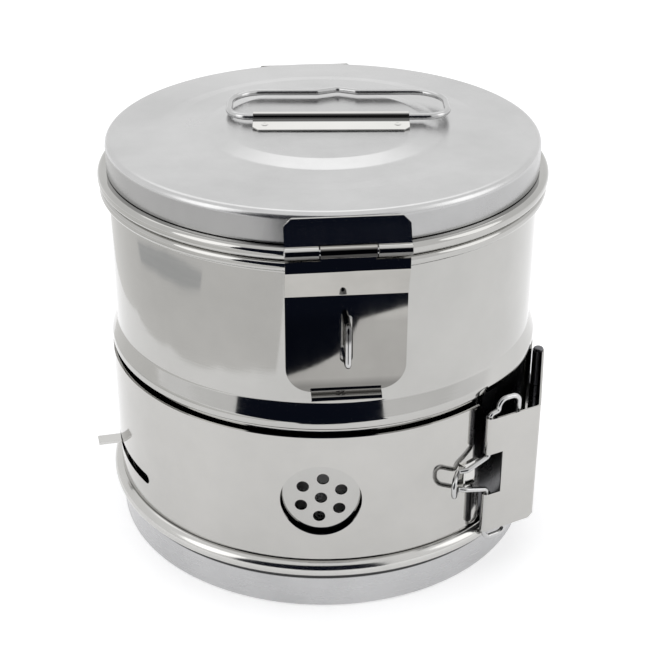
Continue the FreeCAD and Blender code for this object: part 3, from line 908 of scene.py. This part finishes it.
def paint_clamp_shade(obj, inside_too):
    """Painted shade on a clamp plate's knuckle, and, if asked, on its faces that look at the drum."""
    obj.data.materials.append(clamp_shade)
    hinge = polar(clamp_hinge_r, clamp_hinge_azimuth)
    for poly in obj.data.polygons:
        centre = poly.center / MM
        flat = V((centre.x, centre.y, 0))
        inward = poly.normal.dot(flat.normalized()) < -0.2
        if (inside_too and inward) or (flat - hinge).length < clamp_knuckle_reach:
            poly.material_index = 1


def paint_drum_light_and_shade():
    """Painted light and shade on parts of the wall: painted shade in the gap under the seam bead, on the
    inside and beside the band behind the clamp, and a painted highlight on the seam bead.
    """
    for finish in (crevice_shade, inner_shade, bead_highlight, shadowed):
        drum_wall.data.materials.append(finish)
    gap, inside, bead, shade = 1, 2, 3, 4
    for poly in drum_wall.data.polygons:
        centre = poly.center / MM
        radius = centre.to_2d().length
        azimuth = math.degrees(math.atan2(centre.x, -centre.y))
        outward = poly.normal.dot(V((centre.x, centre.y, 0)).normalized())
        behind_clamp = band_end_a + 1.0 < azimuth < band_end_b
        beside_band = seam_top + 0.5 < centre.z < mid_bottom + 0.2
        underside = poly.normal.z < -0.2 or centre.z < seam_bottom
        if behind_clamp and beside_band and outward > 0.2:
            poly.material_index = shade
        if centre.z < seam_top and outward > 0.0 and radius > wall_r + 0.3:
            poly.material_index = bead
        if centre.z < seam_bottom + 1.6 and underside and radius > 77.0:
            poly.material_index = gap
        if outward < -0.2 and centre.z < mid_bottom:
            poly.material_index = inside


place(drum_wall, "drum", "wall", mirror, "body_shell")
paint_drum_light_and_shade()
place(collar, "drum", "wall", mirror, "neck_collar")
place(hem, "drum", "wall", mirror)
place(base, "drum", "base", base_and_edge_shade, "base_pan")
place(staple, "drum", "fitting_drum", staple_and_painted_shade, "hasp_staple")
place(dressed["stop_tab"], "drum", "fitting_drum", plate_finish, "stop_tab")
place(dressed["rear_body_leaf"], "drum", "fitting_drum", plate_finish, "rear_body_leaf")
place(dressed["rear_hinge_pin"], "drum", "pins", wire_finish, "rear_hinge_pin")
place(lid, "lid", "lid", satin_and_skirt_shade, "lid_shell")
place(dressed["handle_bracket"], "lid", "fitting_lid", bracket_and_painted_band, "handle_bracket")
place(front_leaf, "lid", "fitting_lid", leaf_and_knuckle_shade, "hasp_lid_leaf")
place(dressed["hasp_pin"], "lid", "pins", wire_finish, "hasp_pin")
place(rear_leaf, "lid", "fitting_lid", leaf_and_knuckle_shade, "rear_lid_leaf")
place(bail, "bail", "wire", wire_finish, "bail_handle")
place(dressed["hasp_plate"], "hasp", "hasp", hasp_and_painted_bands, "hasp_plate")
place(band, "band", "band", band_finish, "vent_band")
place(dressed["band_hinge_leaf"], "band", "band", plate_finish, "band_hinge_leaf")
paint_clamp_shade(dressed["band_hinge_leaf"], False)
place(dressed["lever_pin"], "band", "pins", clamp_shade, "lever_pin")
place(dressed["catch_plate"], "band", "band", plate_finish, "catch_plate")
place(dressed["lever_plate"], "lever", "clamp", band_finish, "lever_plate")
paint_clamp_shade(dressed["lever_plate"], True)
place(hook, "hook", "wire", wire_finish, "wire_hook")


# Studio: white floor, white room, dark and pale cards as painted reflections, soft lamps
def flat_card(name, corners, z=0.0):
    """A level card with its corners in millimetres."""
    verts = [(x * MM, y * MM, z * MM) for x, y in corners]
    return new_object(name, verts, [tuple(range(len(verts)))])


def glowing(name, color):
    """A card that gives off an even colour and reflects nothing."""
    material, tree, shader = node_material(name)
    shader.inputs["Roughness"].default_value = 0.9
    shader.inputs["Specular IOR Level"].default_value = 0.0
    shader.inputs["Base Color"].default_value = (0, 0, 0, 1)
    shader.inputs["Emission Color"].default_value = (*color, 1.0)
    shader.inputs["Emission Strength"].default_value = 1.0
    return material


def seen_rays(tree):
    """1 for the rays that show the backdrop: the camera's own, and those through metal and glass."""
    path = tree.nodes.new("ShaderNodeLightPath")
    total = path.outputs["Is Camera Ray"]
    for name in ("Is Glossy Ray", "Is Transmission Ray"):
        add = tree.nodes.new("ShaderNodeMath")
        add.operation = "ADD"
        add.use_clamp = True
        tree.links.new(total, add.inputs[0])
        tree.links.new(path.outputs[name], add.inputs[1])
        total = add.outputs[0]
    return total


def white_floor(name, shade, lift):
    """A pale floor that shows as white and keeps the object's shadow."""
    material, tree, shader = node_material(name)
    shader.inputs["Roughness"].default_value = 0.9
    shader.inputs["Specular IOR Level"].default_value = 0.0
    shader.inputs["Base Color"].default_value = (shade, shade, shade, 1.0)
    glow = tree.nodes.new("ShaderNodeEmission")
    glow.inputs["Strength"].default_value = lift
    add = tree.nodes.new("ShaderNodeAddShader")
    mix = tree.nodes.new("ShaderNodeMixShader")
    tree.links.new(shader.outputs["BSDF"], add.inputs[0])
    tree.links.new(glow.outputs["Emission"], add.inputs[1])
    tree.links.new(seen_rays(tree), mix.inputs["Fac"])
    tree.links.new(shader.outputs["BSDF"], mix.inputs[1])
    tree.links.new(add.outputs["Shader"], mix.inputs[2])
    out = next(n for n in tree.nodes if n.type == "OUTPUT_MATERIAL")
    tree.links.new(mix.outputs["Shader"], out.inputs["Surface"])
    return material


half = 6000
floor = flat_card("floor", [(-half, -half), (half, -half), (half, half), (-half, half)])
floor.data.materials.append(white_floor("floor_white", 0.9, 0.40))

# Glowing cards that only the metal shows, as painted reflections: a dark front, a grey patch and a pale side
dark = flat_card("dark_front", [
    (-60, -224), (-30, -224), (-9, -238), (0, -243), (6, -247), (13, -253), (22, -262), (26, -276),
    (31, -290), (39, -294), (48, -298), (58, -303), (75, -310), (130, -330), (150, -345), (322, -760),
    (-829, -760), (-160, -345), (-95, -300),
], 0.6)
dark.data.materials.append(glowing("painted_reflection_dark", (0.006, 0.008, 0.016)))
panel_corners = [(-829, -760, 0), (322, -760, 0), (322, -760, 900), (-829, -760, 900)]
panel = new_object("dark_panel", [V(corner) * MM for corner in panel_corners], [(0, 1, 2, 3)])
panel.data.materials.append(dark.data.materials[0])
grey = flat_card("grey_side", [
    (-304, 107), (-325, 45), (-332, -24), (-318, -90), (-291, -144),
    (-272, -129), (-284, -84), (-294, -36), (-296, 20), (-286, 81),
], 0.8)
grey.data.materials.append(glowing("painted_reflection_grey", (0.66, 0.67, 0.68)))
pale = flat_card("pale_side", [
    (-137, -345), (-105, -212), (-140, -190), (-185, -135), (-225, -30), (-222, 80), (-160, 200), (-120, 420),
    (-900, 420), (-900, -345),
], 0.4)
pale.data.materials.append(glowing("painted_reflection_pale", (0.95, 0.945, 0.935)))
for card in (dark, panel, grey, pale):
    card.visible_camera = False
    card.visible_diffuse = False
    card.visible_shadow = False

world = bpy.data.worlds.new("studio")
bpy.context.scene.world = world
world.use_nodes = True
tree = world.node_tree
tree.nodes.clear()
out = tree.nodes.new("ShaderNodeOutputWorld")
mix = tree.nodes.new("ShaderNodeMixShader")
tree.links.new(seen_rays(tree), mix.inputs["Fac"])
for socket, color in ((1, (0.80, 0.80, 0.81, 1.0)), (2, (1, 1, 1, 1))):
    background = tree.nodes.new("ShaderNodeBackground")
    background.inputs["Color"].default_value = color
    background.inputs["Strength"].default_value = 1.0
    tree.links.new(background.outputs["Background"], mix.inputs[socket])
tree.links.new(mix.outputs["Shader"], out.inputs["Surface"])


def lamp(name, place_at, look_at, width, height, power):
    """An elliptical soft lamp, with its place and size in millimetres and its power in watts."""
    data = bpy.data.lights.new(name, "AREA")
    data.shape = "ELLIPSE"
    data.size = width * MM
    data.size_y = height * MM
    data.energy = power
    obj = bpy.data.objects.new(name, data)
    obj.location = V(place_at) * MM
    direction = (V(look_at) - V(place_at)).normalized()
    obj.rotation_euler = direction.to_track_quat("-Z", "Y").to_euler()
    bpy.context.scene.collection.objects.link(obj)


lamp("top_softbox", (0, 430, 800), (0, 0, 100), 1200, 420, 0.7)
lamp("left_softbox", (-700, -350, 450), (0, 0, 70), 500, 700, 0.9)
lamp("right_softbox", (750, -250, 450), (0, 0, 70), 500, 700, 0.8)

# Camera fitted to the photographed ellipses: its place in wall radii and degrees, its drop in radians
picture = 650.0
focal_pixels = 1399.92
shift_pixels = (2.0, -12.02)
camera_azimuth = -5.5
camera_distance = 6.1302
camera_height = 4.1675
camera_drop = 0.4773
camera_data = bpy.data.cameras.new("camera")
camera_data.sensor_width = 36.0
camera_data.lens = 36.0 * focal_pixels / picture
camera_data.shift_x = shift_pixels[0] / picture
camera_data.shift_y = shift_pixels[1] / picture
camera_data.clip_start = 0.01
camera_data.clip_end = 50.0
camera = bpy.data.objects.new("camera", camera_data)
camera.location = polar(camera_distance * wall_r, camera_azimuth, camera_height * wall_r) * MM
camera.rotation_euler = (0.5 * math.pi - camera_drop, 0.0, math.radians(camera_azimuth))
bpy.context.scene.collection.objects.link(camera)
bpy.context.scene.camera = camera
bpy.context.scene.view_settings.view_transform = "Standard"
